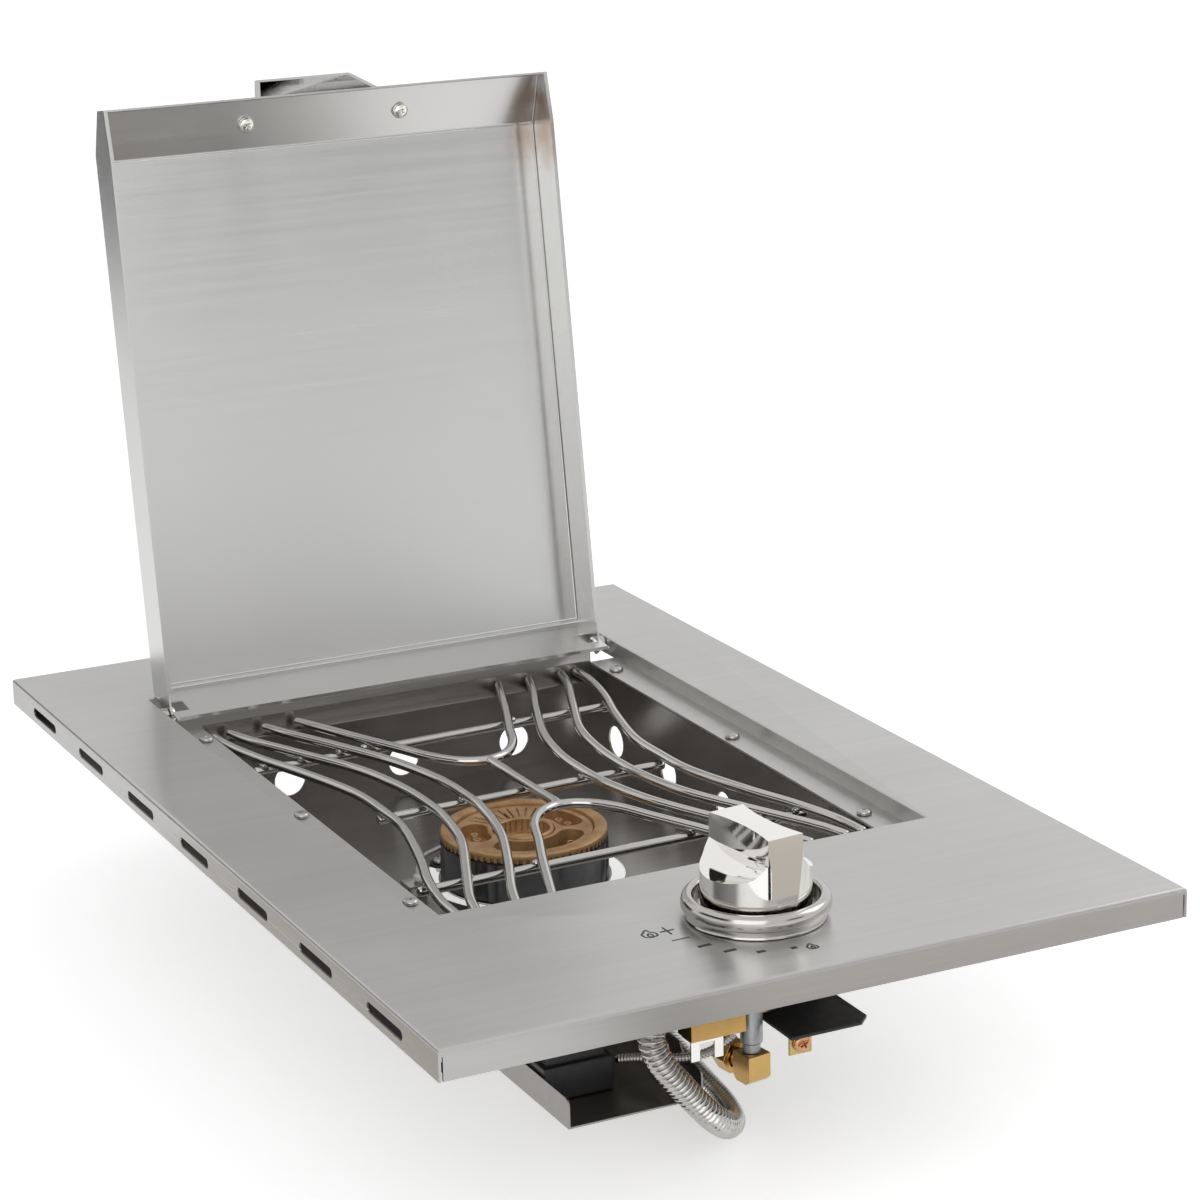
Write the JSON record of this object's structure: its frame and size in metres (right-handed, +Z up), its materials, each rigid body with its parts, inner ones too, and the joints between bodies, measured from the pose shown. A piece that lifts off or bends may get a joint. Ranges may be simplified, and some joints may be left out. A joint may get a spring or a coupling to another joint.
{
  "type": "built in side burner",
  "caption": "Drop-in gas side burner with a slotted stainless trim plate, hinged lid, wire grate over a brass burner, push-and-turn knob and gas fittings below.",
  "frame": {"origin": "centre of the trim plate, in the plane where its turned-in lips rest on the counter", "axes": "+X to the right seen from the knob, +Y from the knob to the lid, +Z up"},
  "size_m": [0.36, 0.5612, 0.4131],
  "materials": {
    "trim_steel": "fine brushed stainless, grain along the width",
    "lid_steel": "brushed stainless, brighter than the plate",
    "bowl_steel": "semi-bright stainless, darker inside",
    "bright_steel": "bright drawn stainless",
    "hose_steel": "bright ribbed stainless",
    "burner_brass": "sand-cast brass, dull",
    "fitting_brass": "machined brass",
    "black_enamel": "black heat-proof coat",
    "black_plastic": "moulded black plastic",
    "white_ceramic": "glazed white ceramic",
    "grey_metal": "dull cast grey metal",
    "satin_chrome": "satin, warm tint",
    "bright_chrome": "mirror chrome, warm tint",
    "yellow_zinc": "yellow zinc plate",
    "copper_plate": "copper coloured plate"
  },
  "bodies": {
    "root": {"trim_plate": "trim_steel", "burner_bowl": "bowl_steel", "bowl_screw_1": "bright_steel", "bowl_screw_2": "bright_steel", "bowl_screw_3": "bright_steel", "bowl_screw_4": "bright_steel", "bowl_screw_5": "bright_steel", "bowl_screw_6": "bright_steel", "grate_rest_front": "bowl_steel", "grate_rest_rear": "bowl_steel", "burner_pot": "black_enamel", "burner_ring": "burner_brass", "burner_spider": "burner_brass", "burner_cup": "burner_brass", "jet_post_left": "burner_brass", "jet_post_right": "burner_brass", "burner_screw_left": "bright_steel", "burner_screw_right": "bright_steel", "electrode_insulator": "white_ceramic", "electrode_rod": "grey_metal", "electrode_bracket": "bright_steel", "mixing_tube": "grey_metal", "gas_injector": "fitting_brass", "hinge_bolt_left": "bright_chrome", "hinge_spacer_left": "bright_steel", "hinge_nut_left": "bright_steel", "hinge_bolt_right": "bright_chrome", "hinge_spacer_right": "bright_steel", "hinge_nut_right": "bright_steel", "knob_bezel": "satin_chrome", "valve_body": "fitting_brass", "valve_bracket": "black_enamel", "valve_clamp": "yellow_zinc", "clamp_screw": "copper_plate", "manifold_block": "burner_brass", "inlet_pipe": "grey_metal", "inlet_elbow": "fitting_brass", "inlet_nut": "fitting_brass", "fork_clip": "bright_chrome", "heat_shield_channel": "bowl_steel", "channel_screw_left": "bright_steel", "channel_screw_right": "bright_steel", "igniter_module": "black_plastic", "flex_hose": "hose_steel", "igniter_lead_sleeve": "hose_steel", "hose_nut_front": "fitting_brass", "hose_nut_rear": "fitting_brass"},
    "lid": {"lid_tray": "lid_steel", "lid_handle": "bright_steel", "handle_screw_left": "bright_chrome", "handle_screw_right": "bright_chrome"},
    "plunger": {"valve_plunger": "fitting_brass"},
    "knob": {"control_knob": "bright_chrome", "valve_stem": "bright_steel"},
    "grate": {"grate_frame": "bright_steel", "grate_inner_rods": "bright_steel", "grate_rod_left": "bright_steel", "grate_rod_right": "bright_steel", "grate_loops": "bright_steel"}
  },
  "joints": [
    {"name": "lid_hinge", "type": "hinge", "parent": "root", "child": "lid", "pos_m": [0, 0.1905, 0.01], "axis": [1, 0, 0], "range_deg": [0, 98.5]},
    {"name": "knob_push", "type": "slide", "parent": "root", "child": "plunger", "axis": [0, 0, -1], "range_m": [0, 0.003], "stiffness_N_per_m": 2500, "springref_m": -0.003},
    {"name": "knob_turn", "type": "hinge", "parent": "plunger", "child": "knob", "pos_m": [0, -0.2143, 0.02], "axis": [0, 0, 1], "range_deg": [0, 225]},
    {"name": "grate_lift", "type": "slide", "parent": "root", "child": "grate", "axis": [0, 0, 1], "range_m": [0, 0.0035]}
  ]
}
